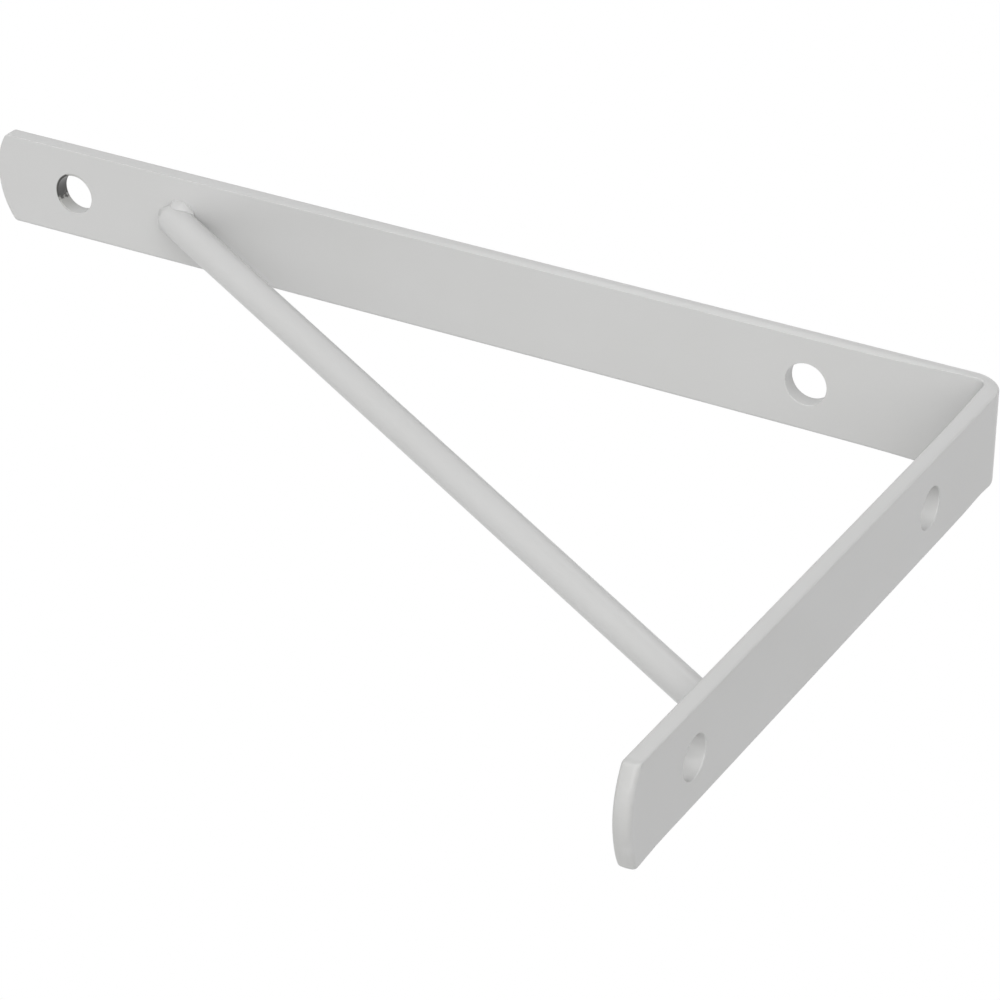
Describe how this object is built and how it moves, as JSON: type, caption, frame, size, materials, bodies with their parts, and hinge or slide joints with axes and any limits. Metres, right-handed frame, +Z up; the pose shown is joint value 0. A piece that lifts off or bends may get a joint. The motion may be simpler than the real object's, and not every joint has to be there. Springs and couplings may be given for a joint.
{
  "type": "shelf bracket",
  "caption": "Welded steel shelf bracket: a flat bar bent to a right angle with a slanting round brace rod, arched arm tips and plain screw holes, coated white.",
  "frame": {"origin": "midway between the two wall screw holes, on the face of the wall arm that lies against the wall", "axes": "+X out from the wall along the shelf arm, +Y across the bar's width, +Z up towards the shelf"},
  "size_m": [0.3, 0.027, 0.2],
  "materials": {
    "white_coat": "satin white powder coat over steel, with a fine orange-peel texture"
  },
  "bodies": {
    "root": {"bent_bar": "white_coat", "brace_rod": "white_coat", "shelf_arm_weld": "white_coat", "wall_arm_weld": "white_coat"}
  },
  "joints": []
}
